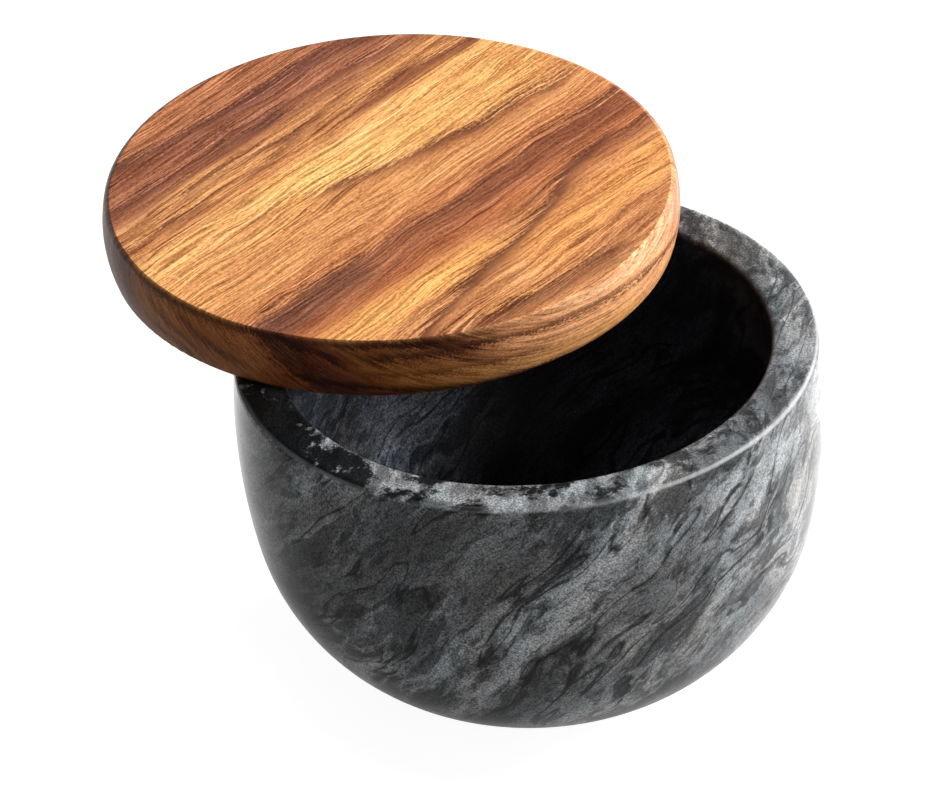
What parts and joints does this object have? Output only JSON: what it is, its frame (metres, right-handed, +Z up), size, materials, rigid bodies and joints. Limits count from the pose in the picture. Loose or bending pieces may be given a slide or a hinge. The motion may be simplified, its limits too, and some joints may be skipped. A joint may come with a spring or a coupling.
{
  "type": "salt cellar",
  "caption": "Round polished stone bowl for salt with a flat wooden lid that swings sideways over the rim on a pin, shown partly open.",
  "frame": {"origin": "centre of the pad's underside, where the cellar stands, on the bowl's axis", "axes": "+Z up along the bowl's axis; the pivot pin is on the -X side of the rim; the lid opens towards +Y"},
  "size_m": [0.1341, 0.1549, 0.0852],
  "materials": {
    "stone": "polished, dark grey with darker and lighter veins",
    "wood_wide": "sanded and oiled, golden to dark brown grain",
    "wood_narrow": "sanded and oiled, reddish brown grain",
    "steel": "ground",
    "pad": "fine foam"
  },
  "bodies": {
    "base": {"bowl": "stone", "base_pad": "pad"},
    "pin": {"pivot_pin": "steel"},
    "lid": {"lid_wide_board": "wood_wide", "lid_narrow_board": "wood_narrow"}
  },
  "joints": [
    {"name": "lid_swivel", "type": "hinge", "parent": "base", "child": "pin", "pos_m": [-0.05185, 0, 0.072], "axis": [0, 0, 1], "range_deg": [-52.8, 127.2]},
    {"name": "lid_lift", "type": "slide", "parent": "pin", "child": "lid", "axis": [0, 0, 1], "range_m": [0, 0.02]}
  ]
}
